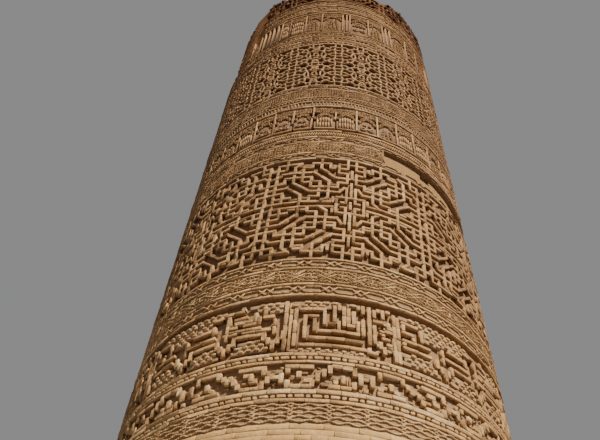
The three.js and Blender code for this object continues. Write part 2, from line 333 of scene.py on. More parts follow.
def weatheredClay(name, ownLook):
    # Fired clay brick, hand cut: dry, matt and granular, each brick its own buff, with painted light and shade
    # carried in its tone, darker rain staining, browner towards the top, and small pits
    look = {"streak": 0.3, "bump": 0.9, "weathered": 1.0, **ownLook}
    material, tree, place = startMaterial(name)
    tone = addNode(tree, "ShaderNodeAttribute", attribute_name="tone").outputs["Fac"]
    tall = addNode(tree, "ShaderNodeMapping", {"Vector": place, "Scale": (1, 1, 0.14)}).outputs[0]
    pits = addNode(tree, "ShaderNodeTexVoronoi", {"Vector": place, "Scale": 1 / 0.022}).outputs["Distance"]
    mottle, grain = noise(tree, place, 0.034, 5.0, 0.7), noise(tree, place, 0.007, 3.0, 0.7)
    stain, streak = noise(tree, place, 1.3, 4.0, 0.6), noise(tree, tall, 0.16, 4.0, 0.6)
    colour = ramp(tree, tone, look["firing"])
    colour = veil(tree, colour, mottle, 0.36, 0.64, look["mottle"])
    colour = veil(tree, colour, stain, 0.42, 0.75, look["stain"])
    colour = veil(tree, colour, streak, 0.5, 0.8, (look["streak"], look["stain"][1]))
    colour = veil(tree, colour, grain, 0.35, 0.7, look["grain"], "MULTIPLY")
    height = addNode(tree, "ShaderNodeSeparateXYZ", {0: place}).outputs[2]
    rough = ramp(tree, mottle, [(0.2, 0.86), (0.8, 0.97)])
    dryFinish(tree, colour, height, look["weathered"], rough,
              [(maths(tree, "ADD", grain, pits), look["bump"], 0.003), (mottle, look["bump"], 0.012)])
    return material


def coursedBrick(name, look):
    # Plain brickwork laid in lime mortar, worked out round the axis of the tower
    material, tree, place = startMaterial(name)
    across, back, height = addNode(tree, "ShaderNodeSeparateXYZ", {0: place}).outputs
    arc = maths(tree, "MULTIPLY", maths(tree, "ARCTAN2", across, back), look["radius"])
    wall = addNode(tree, "ShaderNodeCombineXYZ", {0: arc, 1: height}).outputs[0]
    bricks = addNode(tree, "ShaderNodeTexBrick",
                     {"Vector": wall, "Color1": linear(look["light"]), "Color2": linear(look["dark"]),
                      "Mortar": linear(look["mortar"]), "Scale": 1.0, "Mortar Size": 0.006,
                      "Mortar Smooth": 0.3, "Brick Width": 0.25, "Row Height": 0.05})
    mottle, stain = noise(tree, place, 0.06, 5.0), noise(tree, place, 0.9, 4.0)
    colour = veil(tree, bricks.outputs["Color"], mottle, 0.3, 0.75, (0.55, look["mortar"]))
    colour = veil(tree, colour, stain, 0.42, 0.7, (0.6, look["stain"]))
    joints = maths(tree, "SUBTRACT", 1.0, bricks.outputs["Fac"])
    dryFinish(tree, colour, height, 1.0, 0.93, [(joints, 0.9, 0.006), (mottle, 0.6, 0.01)])
    return material


bandBrick = weatheredClay("fired_brick_with_painted_light", {    # the raised bricks and straps, warm and mottled
    "firing": [(0.0, "9a7552"), (0.3, "ba9367"), (0.6, "d3ac79"), (0.85, "e3bf8a"), (1.0, "edcf9d")],
    "mottle": (0.6, "a07f5b"), "stain": (0.45, "967758"), "streak": 0.35, "grain": (0.5, "c4ab8a")})
backing = weatheredClay("dusty_mortar_ground", {           # the mortar between them, dull and even
    "firing": [(0.0, "b0906b"), (0.5, "bf9f78"), (1.0, "cdae87")],
    "mottle": (0.6, "927556"), "stain": (0.45, "896c4d"), "grain": (0.45, "b39676"), "bump": 0.8})
shaftBrick = weatheredClay("pale_fired_brick", {           # the plain courses, paler, yellower and smoother
    "firing": [(0.0, "c99b60"), (0.4, "dcb375"), (0.75, "e9c587"), (1.0, "f3d59c")],
    "mottle": (0.45, "a57f54"), "stain": (0.35, "9f764a"), "grain": (0.4, "c2a278"), "bump": 0.45})
dustyShadedGround = weatheredClay("dusty_shaded_brick_ground", {         # behind the frets and on the domes, dusty brown; behind the frets it is also painted shade
    "firing": [(0.0, "a58563"), (1.0, "bc9c7a")],
    "mottle": (0.55, "7f6244"), "stain": (0.45, "77593b"), "grain": (0.45, "ae9172")})
deepGround = weatheredClay("shaded_dusty_mortar", {        # behind the lattice and the scrolls, dark: dust, and painted shade of the deep recesses
    "firing": [(0.0, "82634a"), (0.5, "92724f"), (1.0, "a3835f")],
    "mottle": (0.55, "6d5036"), "stain": (0.45, "6b4e33"), "grain": (0.45, "a98c6e")})
bedMortar = weatheredClay("smooth_gypsum_bedding", {       # bed of the lost strip, smooth and pale
    "firing": [(0.0, "c49f6b"), (1.0, "d0ac7b")],
    "mottle": (0.7, "a6824f"), "stain": (0.5, "96724a"), "streak": 0.4, "grain": (0.45, "c4a67c")})
rawClay = weatheredClay("torn_brick_face", {               # broken brick under the fallen face, brown, rough
    "firing": [(0.0, "b58350"), (1.0, "c4955f")],
    "mottle": (0.6, "9c693c"), "stain": (0.5, "7c522f"), "streak": 0.2, "grain": (0.5, "b08b64"), "bump": 1.0,
    "weathered": 0.45})
coreBrick = coursedBrick("coursed_core_brick", {           # the bare core, dull red-brown courses
    "radius": 1.3, "light": "a98258", "dark": "8b6542", "mortar": "b59a78", "stain": "6f4f35"})
footBrick = coursedBrick("lime_mortared_brick", {          # inside the doorway and the shaft, pale courses
    "radius": 2.0, "light": "c3a077", "dark": "b08b61", "mortar": "bda184", "stain": "a07a54"})
print("materials ready")

brick = modelBrick(length=0.2, height=0.04, depth=0.05, arris=0.0025)
strap = modelStrap(length=0.06, height=0.016, depth=0.02, slope=0.005)
bead = modelBead(size=0.026, depth=0.03, arris=0.002)
brickWear = {"rough": 0.0011, "chips": 0.06, "chipDepth": 0.008, "proud": 0.002, "askew": 0.009, "tone": 0.16}
strapWear = {"rough": 0.0008, "chips": 0.04, "chipDepth": 0.005, "proud": 0.001, "askew": 0.008, "tone": 0.17}
shaftWear = {"rough": 0.0006, "chips": 0.02, "chipDepth": 0.004, "proud": 0.0006, "askew": 0.004, "tone": 0.07}
tornWear = {"rough": 0.003, "chips": 0.05, "chipDepth": 0.004, "proud": 0.002, "askew": 0.06, "tone": 0.25}
rubbleWear = {"rough": 0.004, "chips": 0.1, "chipDepth": 0.008, "proud": 0.003, "askew": 0.2, "tone": 0.2}


# Ways of laying out a band. A spot is azimuth, height, length, width, how far out, depth, tilt and tone.
# The longest piece and the joint between pieces are for bars that are laid in several.
def raised(out, depth, longest=0.2, joint=0.003, tone=0.55):
    return {"out": out, "depth": depth, "longest": longest, "joint": joint, "tone": tone}


def spotAt(azimuth, z, length, width, look, tilt=0):
    return azimuth, z, length, width, look["out"], look["depth"], tilt, look["tone"]


def bar(spots, start, end, width, look, overlap=0.5):
    # One raised bar from one point to another, each an azimuth and a height, in short bricks
    radius = radiusAt((start[1] + end[1]) / 2)
    side, up = radians(end[0] - start[0]) * radius, end[1] - start[1]
    run = max(hypot(side, up), 1e-6)
    first, last = -overlap * width, run + overlap * width
    pieces = max(1, ceil((last - first) / look["longest"]))
    for k in range(pieces):
        place = (first + (k + 0.5) * (last - first) / pieces) / run
        spots.append(spotAt(start[0] + (end[0] - start[0]) * place, start[1] + up * place,
                            (last - first) / pieces - look["joint"], width, look, atan2(up, side)))


def line(spots, points, width, look, overlap=0.5):
    for start, end in zip(points[:-1], points[1:]):
        bar(spots, start, end, width, look, overlap)


def course(spots, low, high, length, look, offset, joint=0.004):
    # One course of bricks all the way round
    z = (low + high) / 2
    girth = 2 * pi * radiusAt(z)
    count = round(girth / length)
    for k in range(count):
        spots.append(spotAt(360 * (k + offset) / count, z, girth / count - joint, high - low, look))


def uprights(spots, low, high, count, width, look):
    for k in range(count):
        spots.append(spotAt(360 * k / count, (low + high) / 2, width, high - low, look))


def around(spots, lines, repeats, centre, width, look, overlap=0.3):
    # Lays the lines of one repeat, with azimuths from its centre, all the way round
    for k in range(repeats):
        turn = centre + 360 * k / repeats
        for points in lines:
            line(spots, [(turn + azimuth, z) for azimuth, z in points], width, look, overlap)


def guilloche(spots, low, high, repeats, centre, width, look):
    # Two strands that cross twice between long hexagons, lying at the two heights in between
    strand = [(0, 1), (0.24, 1), (0.49, 0), (0.51, 0), (0.76, 1), (1, 1)]
    around(spots, [[(360 / repeats * u, high if side != flip else low) for u, side in strand]
                   for flip in (0, 1)], repeats, centre, width, look)


def braid(spots, heights, repeats, centre, width, look):
    # Rows of short level straps whose ends cross over two rows at a time, tied in the middle
    period = 360 / repeats
    for k in range(repeats):
        a = centre + k * period
        for row, z in enumerate(heights):
            other = row + 2 if row < len(heights) / 2 else row - 2
            line(spots, [(a - 0.2 * period, z), (a + 0.2 * period, z),
                         (a + 0.8 * period, heights[other % len(heights)])], width, look, 0.3)
        bar(spots, (a, heights[1]), (a, heights[-2]), width, look)


def zigzags(spots, heights, repeats, width, look):
    # Opposite zigzags that cross between each height and the next, a chain or a net of small lozenges
    around(spots, [[(0, a), (180 / repeats, b), (360 / repeats, a)]
                   for low, high in zip(heights[:-1], heights[1:])
                   for a, b in ((low, high), (high, low))], repeats, 0, width, look, 0.1)


def rubble(low, high, count, rng, out, size):
    # Broken ends of brick and lumps of mortar in a sunk ground
    return [(rng.uniform(0, 360), rng.uniform(low, high), size * rng.uniform(0.6, 1.8),
             size * rng.uniform(0.3, 0.8), out + rng.uniform(-0.006, 0.006), 0.03,
             rng.uniform(-0.5, 0.5), rng.uniform(0.2, 0.7)) for _ in range(count)]


# Low strap band: five thin wavy strands that meet in knots
strapLow = {"low": 4.95, "high": 5.135, "repeats": 42, "knot": 2.65, "rows": 5, "first": 4.97,
            "pitch": 0.0365, "wave": 0.0095, "width": 0.014, "cross": 0.09}
ringBacking("strap_band_low_ground", strapLow["low"], strapLow["high"], 0.014, backing, "strap_band_low")
spots = []
period = 360 / strapLow["repeats"]
strand = raised(-0.003, 0.018, 0.12, 0.0, 0.85)
for k in range(strapLow["repeats"]):
    knot = strapLow["knot"] + k * period
    for r in range(strapLow["rows"]):
        z = strapLow["first"] + strapLow["pitch"] * r
        line(spots, [(knot + u / 12 * period, z + strapLow["wave"] * (-1) ** r * cos(pi * u / 3))
                     for u in range(13)], strapLow["width"], strand, 0.3)
        if r < strapLow["rows"] - 1:
            for reach in (-strapLow["cross"], strapLow["cross"]):
                bar(spots, (knot - reach * period, z), (knot + reach * period, z + strapLow["pitch"]),
                    strapLow["width"] * 0.8, strand)
makePiece("strap_band_low_straps", [bandBrick], (strap, spots, 11, strapWear))

# Bead mouldings: flat beads, long and short in turn, between two courses of long bricks
beadMouldings = [
    {"name": "bead_moulding_low", "low": 5.135, "high": 5.27, "fillets": [(5.143, 5.172), (5.225, 5.264)],
     "beads": 5.198, "headers": []},
    {"name": "bead_moulding_high", "low": 5.53, "high": 5.66, "fillets": [(5.533, 5.556), (5.607, 5.637)],
     "beads": 5.583,
     "headers": [(-7, 10), (38, 55), (80, 101), (128, 150), (171, 184), (215, 240), (262, 280), (306, 325)]},
]
beadRow = {"pairs": 88, "long": 0.072, "short": 0.036, "height": 0.026, "headerPitch": 1.35}
for moulding in beadMouldings:
    name = moulding["name"]
    ringBacking(name + "_ground", moulding["low"], moulding["high"], 0.03, backing, name)
    spots, beads = [], []
    for n, (start, end) in enumerate(moulding["fillets"]):
        course(spots, start, end, 0.19, raised(-0.003, 0.035, tone=0.72), 0.45 * n)
    for k in range(beadRow["pairs"]):
        for place, length in ((0.0, beadRow["long"]), (0.5, beadRow["short"])):
            beads.append((360 * (k + place) / beadRow["pairs"], moulding["beads"], length, beadRow["height"],
                          -0.004, 0.03, 0, 0.75))
    for start, end in moulding["headers"]:      # short brick ends bedded on the upper course
        for k in range(int((end - start) / beadRow["headerPitch"])):
            spots.append((start + beadRow["headerPitch"] * k, moulding["high"] - 0.009, 0.034, 0.014,
                          -0.008, 0.03, 0, 0.6))
    makePiece(name + "_bricks", [bandBrick], (brick, spots, 21, brickWear), (bead, beads, 22, strapWear))

# Step band: stepped hexagons of brick on a deep ground, one length laid eight times
stepBand = {"low": 5.27, "high": 5.53, "repeats": 8, "width": 0.037, "lumps": 700}
stepBars = [
    # azimuth and height of both ends
    (-19, 5.49, -12.8, 5.49), (-13, 5.49, -13, 5.43), (-18.2, 5.29, -14, 5.29), (-13.2, 5.29, -13.2, 5.345),
    (-11.9, 5.345, -11.9, 5.39), (-11, 5.385, -9.6, 5.385), (-21.4, 5.44, -21.4, 5.405),
    (-20.3, 5.4, -20.3, 5.365), (-19.3, 5.35, -19.3, 5.315), (-16, 5.425, -16, 5.375),
    (-17.6, 5.43, -16, 5.43), (-16, 5.365, -14.9, 5.365), (-7.6, 5.49, -1.4, 5.49),
    (-7.2, 5.455, -7.2, 5.43), (-8.7, 5.415, -8.7, 5.34), (-7.2, 5.345, -7.2, 5.29),
    (-6.2, 5.292, -1.8, 5.292), (-1.4, 5.345, -1.4, 5.3), (-0.1, 5.415, -0.1, 5.355),
    (1.4, 5.46, 1.4, 5.405), (-4.5, 5.425, -4.5, 5.39), (-3, 5.35, -1.7, 5.35), (2.8, 5.5, 2.8, 5.44),
    (3.6, 5.5, 7.8, 5.5), (8.6, 5.5, 8.6, 5.44), (2.9, 5.296, 7.4, 5.296), (8.5, 5.355, 8.5, 5.31),
    (10, 5.445, 10, 5.355), (5.8, 5.405, 5.8, 5.35), (4.1, 5.352, 4.1, 5.335), (12.8, 5.445, 12.8, 5.355),
    (14.7, 5.505, 14.7, 5.45), (15.8, 5.5, 19.8, 5.5), (20.5, 5.5, 20.5, 5.45), (17.5, 5.41, 17.5, 5.365),
    (14.3, 5.3, 20.6, 5.3), (14.5, 5.345, 15.1, 5.345), (11.1, 5.305, 11.1, 5.29), (21.9, 5.45, 21.9, 5.42),
    (18.6, 5.35, 19.3, 5.34), (-9.6, 5.44, -8.9, 5.44), (22.9, 5.415, 22.9, 5.385),
]
stepPatches = [(-5, 5.45, -2.8, 5.45), (-11.6, 5.43, -9.8, 5.43), (-6.3, 5.385, -6.2, 5.385),
               (10.9, 5.425, 11.9, 5.425), (-18, 5.37, -17, 5.37), (15.4, 5.38, 16.2, 5.38),
               (1, 5.33, 2, 5.33)] + [(3.8 + 0.62 * n, 5.345, 3.8 + 0.62 * n, 5.41) for n in range(7)]
ringBacking("step_band_ground", stepBand["low"], stepBand["high"], 0.04, backing, "step_band")
spots = []
stepLook, patchLook = raised(-0.003, 0.05, 0.16, 0.003, 0.66), raised(-0.024, 0.03, 0.2, 0.0, 0.4)
for k in range(stepBand["repeats"]):
    turn = 360 / stepBand["repeats"] * k
    for a0, z0, a1, z1 in stepBars:
        bar(spots, (a0 + turn, z0), (a1 + turn, z1), stepBand["width"], stepLook, 0.35)
    for a0, z0, a1, z1 in stepPatches:          # sunk pieces, slim ones where they stand upright
        bar(spots, (a0 + turn, z0), (a1 + turn, z1), 0.012 if a0 == a1 else 0.034, patchLook, 0.35)
rng = np.random.default_rng(32)
lumps = rubble(stepBand["low"] + 0.02, stepBand["high"] - 0.02, stepBand["lumps"], rng, -0.036, 0.026)
makePiece("step_band_bricks", [bandBrick, backing], (brick, spots, 31, brickWear),
          (brick, lumps, rng, rubbleWear, 1))
print("lower bands laid")

# Key fret: nested square hooks in a framed panel, then stepped valleys, five times round
keyFret = {"low": 5.66, "high": 6.235, "repeats": 5, "column": 72 / 58, "firstColumn": -8.9,
           "rowHeight": 0.0415, "firstRow": 5.6785, "width": 0.032, "crumbs": 26}
keyBars = [
    # column and row of both ends
    (0, 0, 0, 13), (2, 1, 2, 11), (2.9, 1, 16.3, 1), (2.9, 11, 8, 11), (4, 3, 4, 9), (4.9, 3, 15.6, 3),
    (4.8, 9, 6.5, 9), (6, 5, 6, 8), (6.9, 5, 15, 5), (8, 7, 8, 10.2), (8.9, 7, 10, 7), (10, 7.9, 10, 12),
    (12, 7, 12, 12), (12.9, 7, 14, 7), (14, 7.9, 14, 11), (11, 11.3, 11, 12.2), (16, 5, 16, 9),
    (16, 11.2, 16, 13), (15, 12.2, 15, 13), (17.3, 3, 17.3, 13), (18.4, 10.8, 18.4, 12.5),
    (18.4, 9.5, 20, 9.5), (18.4, 3.6, 18.4, 8), (19.6, 2.6, 19.6, 3.9), (20.4, 1.3, 20.4, 2.6),
    (20.3, 11, 20.3, 13), (19.3, 12.6, 19.3, 13), (21.3, 13, 21.7, 13), (21.5, 8.2, 21.5, 9.7),
    (20.9, 7.3, 22, 7.3), (20.2, 5.2, 20.8, 5.2), (21.2, 3.8, 21.8, 3.8), (16.9, 0.6, 18.6, 0.6),
    (22.75, 0, 22.75, 12.4), (23.6, 0, 23.6, 12), (24.9, 4.5, 31, 4.5), (24.9, 6.5, 31, 6.5),
    (24.9, 5.4, 24.9, 5.6), (24.9, 8.6, 27.2, 8.6), (24.9, 9.5, 24.9, 10.6), (27.2, 7.3, 27.2, 7.8),
    (24.9, 11.5, 28.3, 11.3), (29.2, 7.8, 29.2, 10.7), (49, 5.9, 54.6, 5.9), (44.6, 5.9, 47.4, 5.9),
    (49.1, 7.8, 51.4, 7.8), (51.4, 8.7, 51.4, 10.7), (44.2, 12, 48.2, 12), (45.2, 8.7, 45.2, 11.1),
    (45.2, 7.8, 47.2, 7.8), (46.8, 10, 49.4, 10), (48.3, 12.7, 48.3, 13), (53.4, 9.4, 55.2, 9.4),
    (53.4, 10.3, 53.4, 12), (41.6, 11.4, 43.2, 11.4),
]
keyRecessed = [(1, 0, 1, 13), (13, 8, 13, 12), (11, 5.8, 11, 8.2), (15, 6, 15, 8.6), (17.3, 0.6, 17.3, 2.2)]
# Rows of brick ends in mortar: row, from column, to column
keyHeaders = [
    (0.7, 24.8, 33.2), (1.7, 25.2, 32.6), (2.8, 24.6, 31.2), (0.7, 36.6, 43.8), (1.7, 37.2, 43.2),
    (2.8, 38, 42.4), (0.7, 47.2, 54.4), (1.7, 47.8, 53.8), (2.8, 48.4, 53.2), (13, 1.8, 15),
    (12.05, 1.4, 9.2), (13, 24.6, 43.8), (12, 28.6, 43), (11, 30, 36.2), (10, 30.6, 36.6), (9, 30.4, 34),
    (13, 50, 57.4), (12, 51.8, 57), (0, 1.8, 17), (11, 54.6, 57.2), (9.9, 36.8, 41.2), (10.9, 37.2, 41),
]
headerPitch = {"short": 1.72, "long": 1.9, "shift": 0.95}
keyLook, sunkLook, mortarLook = raised(-0.002, 0.055, 0.17), raised(-0.02, 0.04, 0.15), raised(-0.02, 0.035)
spots, headerBricks, mortar = [], [], []


def keyPlace(i, j, k):
    return (keyFret["firstColumn"] + keyFret["column"] * i + 360 / keyFret["repeats"] * k,
            keyFret["firstRow"] + keyFret["rowHeight"] * j)


def keyBar(k, i0, j0, i1, j1, look=keyLook, width=keyFret["width"]):
    bar(spots, keyPlace(i0, j0, k), keyPlace(i1, j1, k), width, look, 0.42)


for k in range(keyFret["repeats"]):
    for ends in keyBars:
        keyBar(k, *ends)
    for ends in keyRecessed:
        keyBar(k, *ends, sunkLook)
    for valley in (34.7, 45.2, 55.7):      # stepped sides, and the long bars of the tray between two valleys
        for di, low, high in ((0, 0.4, 2.1), (1, 1.9, 3.1), (2, 2.9, 4.6), (-1, 1.9, 3.1), (-2, 2.9, 4.6)):
            keyBar(k, valley + di, low, valley + di, high)
        keyBar(k, valley, 4.6, valley, 8.3, width=keyFret["width"] * 0.8)
        if valley < 55:
            for start, end, j in ((2.9, 7.7, 4.5), (0.9, 7.4, 6.4), (1.9, 6.1, 8.8)):
                keyBar(k, valley + start, j, valley + end, j)
            keyBar(k, valley + 7, 7.8, valley + 7, 9.5)
    for j, i0, i1 in keyHeaders:
        bar(mortar, keyPlace(i0 - 0.4, j, k), keyPlace(i1 + 0.2, j, k), keyFret["rowHeight"], mortarLook, 0)
        i = headerPitch["short"] * ceil(i0 / headerPitch["short"]) + headerPitch["shift"] * (round(j) % 2)
        while i < i1:
            a, z = keyPlace(i, j, k)
            long = j in (12.05, 13) and i0 < 2          # the double row over the hook has longer ends
            length = 0.054 if long else 0.038
            headerBricks.append((a, z - 0.006 * (j == 0), length, 0.02, -0.004, 0.04, 0, 0.8))
            i += headerPitch["long" if long else "short"]
rng = np.random.default_rng(44)
crumbs = []
for k in range(keyFret["repeats"]):       # broken pieces beside the posts
    for _ in range(keyFret["crumbs"]):
        a, z = keyPlace(rng.uniform(18.7, 22.2), rng.uniform(0.8, 10), k)
        crumbs.append((a, z, rng.uniform(0.018, 0.05), rng.uniform(0.015, 0.03),
                       -rng.uniform(0.008, 0.03), 0.045, rng.uniform(-0.6, 0.6), 0.6))
ringBacking("key_fret_ground", keyFret["low"], keyFret["high"], 0.05, backing, "key_fret_band")
makePiece("key_fret_bricks", [bandBrick, backing], (brick, spots, 41, brickWear),
          (brick, headerBricks, 42, brickWear), (brick, crumbs, rng, brickWear),
          (brick, mortar, 43, shaftWear, 1))

# Straps between the shadow course and the great fret
stripRepeats = 42
spots, bricks = [], []
ringBacking("strap_strips_ground", 6.305, 6.81, 0.017, backing, "strap_strips")
for low, high in ((6.305, 6.325), (6.445, 6.465), (6.66, 6.68), (6.789, 6.809)):
    course(bricks, low, high, 0.19, raised(0.0, 0.03, tone=0.8), low * 7 % 1)
strand = raised(-0.003, 0.018, 0.2, 0.0, 0.84)
guilloche(spots, 6.352, 6.42, stripRepeats, -2.4, 0.013, strand)
braid(spots, (6.495, 6.541, 6.587, 6.633), stripRepeats, -3.2, 0.013, strand)
zigzags(spots, (6.482, 6.512, 6.542, 6.572, 6.602, 6.632, 6.646), 150, 0.008,
        raised(-0.008, 0.012, 0.2, 0.0, 0.6))
guilloche(spots, 6.706, 6.764, stripRepeats, -1.2, 0.013, strand)
makePiece("strap_strips_straps", [bandBrick], (strap, spots, 51, strapWear), (brick, bricks, 52, brickWear))
print("key fret and straps laid")

# Great fret: one quarter of the repeat, mirrored left and right and up and down
greatFret = {"low": 6.81, "high": 8.505, "repeats": 7, "axis": 7.8, "leftColumn": 3.02, "rightColumn": 2.91,
             "lean": 1.2, "leanFrom": 7.66, "row": 0.0893, "firstRow": 6.821, "width": 0.029}
fretQuarter = [
    [(0.5, 19), (0.5, 17), (1.5, 17)],
    [(0, 18), (1.5, 18), (1.5, 16), (0.5, 16), (0.5, 14), (1.5, 14), (1.5, 13), (4.5, 13), (4.5, 15),
     (7.5, 15), (7.5, 14), (9, 14)],
    [(0, 15), (1.7, 15), (3.5, 16.8), (3.5, 19)],
    [(9, 15.3), (8.5, 15.3), (7.9, 16), (4.3, 16), (2.5, 14.2), (2.5, 10.8), (3.2, 10.1)],
    [(1.9, 10.9), (1.9, 10), (9, 10)],
    [(0.8, 13), (1.3, 12), (4.5, 12), (6.5, 14), (6.5, 17.2), (5.8, 18), (8.5, 18)],
    [(4.5, 10.2), (4.5, 11), (3.5, 11), (3.5, 14), (5.5, 14), (5.5, 17.2)],
    [(9, 13), (7.1, 13), (5.5, 11.4), (5.5, 9.5)],
    [(7.5, 10), (7.5, 12), (9, 12)],
    [(6.6, 11), (8.5, 11)],
    [(1.5, 9.5), (1.5, 11), (0, 11)], [(0.5, 11), (0.5, 10), (1, 10)], [(0.5, 18), (0.5, 17)],
    [(7.5, 19), (7.5, 17), (9, 17)],
    [(8.5, 18), (8.5, 9.5)],
    [(2, 17.6), (2, 17), (2.5, 17), (2.5, 18), (4.5, 18), (4.5, 17), (5.5, 17)],
    [(0, 14), (0, 11)], [(0, 16.7), (0, 15.2)], [(0, 10.1), (0, 9.5)], [(0.5, 13), (0.5, 11)],
    [(1.5, 13.5), (2.5, 13.5)], [(4.7, 17.5), (5.3, 17.5)],
    [(5.9, 10.5), (6.5, 10.5)], [(4.6, 10.6), (5.1, 10.6)],
]
fretBars = [(start, end, side) for quarter in fretQuarter for start, end in zip(quarter[:-1], quarter[1:])
            for side in (-1, 1)]
ringBacking("great_fret_ground", greatFret["low"], greatFret["high"], 0.045, dustyShadedGround, "great_fret_band")
backColumn = (40 - greatFret["leftColumn"] - greatFret["rightColumn"]) / 12  # for the other repeats


def fretPlace(u, j, k):
    # The front repeat is laid a little wider than the others, and all lean a little to the right
    z = greatFret["firstRow"] + greatFret["row"] * j
    if k == 0:
        turn = greatFret["rightColumn" if u > 0 else "leftColumn"] * u
    else:
        turn = greatFret["rightColumn"] * 9 + backColumn * (u + 9 + 18 * (k - 1))
    return greatFret["axis"] + greatFret["lean"] * (z - greatFret["leanFrom"]) + turn, z


seen, spots = set(), []
fretLook = raised(-0.002, 0.055, 0.21)
for start, end, side in fretBars:
    for flip in (False, True):
        ends = [(side * u, 19 - j if flip else j) for u, j in (start, end)]
        key = tuple(sorted((round(u % 18, 2), round(j, 2)) for u, j in ends))
        if key not in seen:
            seen.add(key)
            for k in range(greatFret["repeats"]):
                bar(spots, fretPlace(*ends[0], k), fretPlace(*ends[1], k), greatFret["width"], fretLook, 0.45)
makePiece("great_fret_bricks", [bandBrick], (brick, spots, 61, brickWear))
print("great fret laid")


# Fine strips: level fillets with narrow strapwork between them
def fineStrips(name, fillets, fill, seed, tone, keep=lambda spot: True):
    spots, bricks = [], []
    for start, end in fillets:
        course(bricks, start, end, 0.16, raised(0.0, 0.03, tone=tone + 0.2), start * 13 % 1)
    strand = raised(-0.004, 0.016, 0.2, 0.0, tone)
    for way, *layout in fill:
        way(spots, *layout, strand)
    rng = np.random.default_rng(seed + 200)
    spots = [spot for spot in spots if rng.random() > 0.03]       # a few have weathered away
    makePiece(name + "_straps", [bandBrick], (strap, list(filter(keep, spots)), seed, strapWear),
              (brick, list(filter(keep, bricks)), seed + 1, brickWear))


# A strip of the facing has fallen out of its mortar bed, with a socket in the bed
lost = {"start": 21, "end": 101, "low": 8.64, "high": 8.95, "depth": 0.06, "hole": (38.5, 43.5),
        "holeLow": 8.83, "ragged": 0.2}


def outsideLostStrip(spot):
    # A piece that reaches over either end of the strip has gone with it
    reach = degrees(abs(spot[2] * cos(spot[6])) / 2 / radiusAt(spot[1]))
    return not (lost["low"] < spot[1] < lost["high"]
                and spot[0] % 360 + reach > lost["start"] + lost["ragged"]
                and spot[0] % 360 - reach < lost["end"] - lost["ragged"])


def meshKnots(spots, low, high, repeats, knot, width, look):
    # Close crossing straps that tie a braid together once a repeat
    around(spots, [[(side * (0.75 * n - 0.8), low), (side * (0.75 * n + 0.8), high)]
                   for n in (-1.5, -0.5, 0.5, 1.5) for side in (-1, 1)], repeats, knot, width, look, 0.2)


def ovalEyes(spots, low, high, repeats, centre, width, look):
    # One oval inside another, once a repeat
    middle, half = (low + high) / 2, (high - low) / 2
    around(spots, [[(1.3 * scale * sin(radians(turn)), middle + half * scale * cos(radians(turn)))
                    for turn in range(0, 361, 36)] for scale in (1.0, 0.5)], repeats, centre, width, look)


lostArc = (lost["start"], lost["end"])
ringBacking("fine_strips_low_ground", 8.505, lost["low"], 0.016, backing, "fine_strips_low")
ringBacking("fine_strips_low_upper_ground", lost["high"], 9.15, 0.016, backing)
ringBacking("fine_strips_low_middle_ground", lost["low"], lost["high"], 0.016, backing, arc=lostArc)
ringBacking("lost_strip_bed", lost["low"], lost["holeLow"], lost["depth"], bedMortar, arc=lostArc, keep=True)
for name, *arc in (("left", lost["start"], lost["hole"][0]), ("right", lost["hole"][1], lost["end"])):
    ringBacking("lost_strip_bed_" + name, lost["holeLow"], lost["high"], lost["depth"], bedMortar,
                arc=arc, keep=True)
fineStrips("fine_strips_low", [(8.515, 8.54), (8.643, 8.665), (8.866, 8.89), (8.976, 9.0), (9.11, 9.14)],
           [(guilloche, 8.562, 8.622, stripRepeats, -2.4, 0.013),
            (braid, (8.69, 8.742, 8.794, 8.845), stripRepeats, -1.7, 0.013),
            (zigzags, (8.676, 8.707, 8.738, 8.769, 8.8, 8.831, 8.857), 160, 0.008),
            (meshKnots, 8.68, 8.855, stripRepeats, 2.6, 0.008),
            (guilloche, 8.905, 8.962, stripRepeats, -1.2, 0.013), (zigzags, (9.015, 9.095), 200, 0.012)],
           71, 0.62, outsideLostStrip)
ringBacking("fine_strips_mid_ground", 9.7, 10.31, 0.016, backing, "fine_strips_mid")
fineStrips("fine_strips_mid",
           [(9.72, 9.745), (9.85, 9.872), (9.965, 9.987), (10.177, 10.2), (10.282, 10.309)],
           [(uprights, 9.755, 9.84, 250, 0.013), (zigzags, (9.885, 9.952), 120, 0.012),
            (zigzags, (9.995, 10.03, 10.065, 10.1, 10.135, 10.168), 170, 0.009),
            (ovalEyes, 10, 10.165, stripRepeats, 6.2, 0.012),
            (guilloche, 10.215, 10.268, stripRepeats, 0.8, 0.014)], 73, 0.6)
ringBacking("fine_strips_high_ground", 11.58, 12.05, 0.013, backing, "fine_strips_high")
fineStrips("fine_strips_high",
           [(11.588, 11.612), (11.664, 11.684), (11.74, 11.762), (11.816, 11.836), (11.89, 11.914),
            (11.964, 11.984), (12.02, 12.04)],
           [(uprights, 11.616, 11.66, 150, 0.03), (zigzags, (11.69, 11.735), 130, 0.011),
            (uprights, 11.766, 11.812, 165, 0.026), (zigzags, (11.84, 11.886), 140, 0.011),
            (uprights, 11.918, 11.96, 150, 0.03)], 75, 0.43)

# The carved face of the three top bands has fallen off at the left. Its lower edge climbs to the
# right, where some of the relief still stands.
fallen = {"start": 276, "end": 318, "low": 12.12, "depth": 0.042, "climbFrom": 302, "climb": 0.022,
          "upright": 312, "uprightTop": 12.6, "lumps": 1500, "lumpTop": 13.9, "lump": 0.035}
fallenArc = (fallen["start"], fallen["end"])


def fallenOff(azimuth, z):
    edge = fallen["low"] + fallen["climb"] * max(0, azimuth % 360 - fallen["climbFrom"])
    return fallen["start"] < azimuth % 360 < fallen["end"] and z > edge


